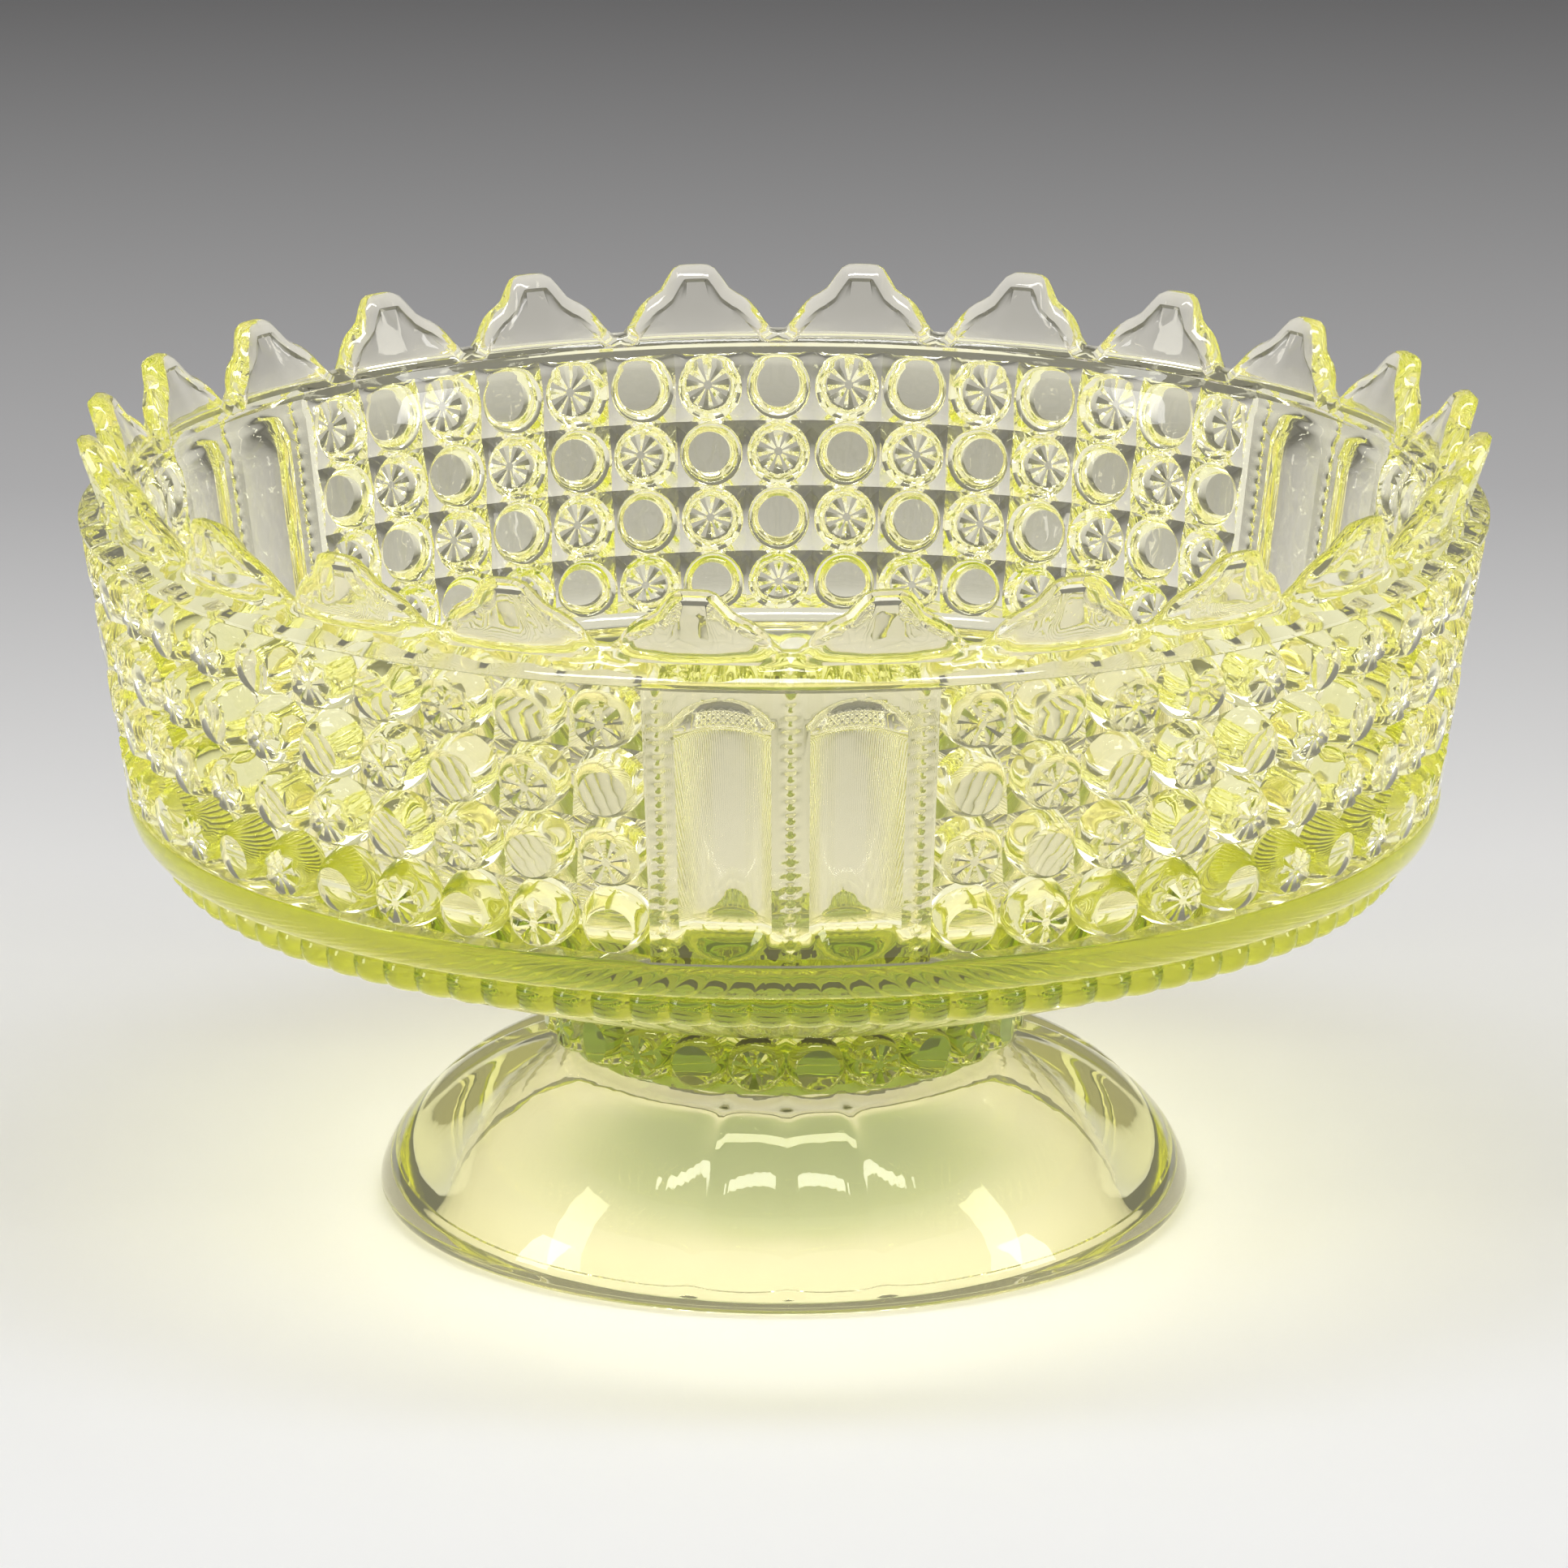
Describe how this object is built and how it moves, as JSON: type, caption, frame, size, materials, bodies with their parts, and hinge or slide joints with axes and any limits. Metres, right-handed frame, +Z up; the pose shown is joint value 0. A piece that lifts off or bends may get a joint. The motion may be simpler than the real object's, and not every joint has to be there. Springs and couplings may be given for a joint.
{
  "type": "footed glass bowl",
  "caption": "Round pressed-glass bowl with a scalloped rim and button-patterned wall, on a low hollow foot with a button collar.",
  "frame": {"origin": "centre of the foot's standing ring, on the table", "axes": "+Z up along the bowl's axis; -Y towards the mould seam between a pair of thumbprints"},
  "size_m": [0.2144, 0.2144, 0.123],
  "materials": {
    "bowl_glass": "clear yellow-green uranium glass, pressed and fire-polished",
    "collar_glass": "clear yellow-green uranium glass, pressed and fire-polished",
    "foot_glass": "clear yellow-green uranium glass, pressed and fire-polished"
  },
  "bodies": {
    "root": {"bowl": "bowl_glass", "collar": "collar_glass", "foot": "foot_glass"}
  },
  "joints": []
}
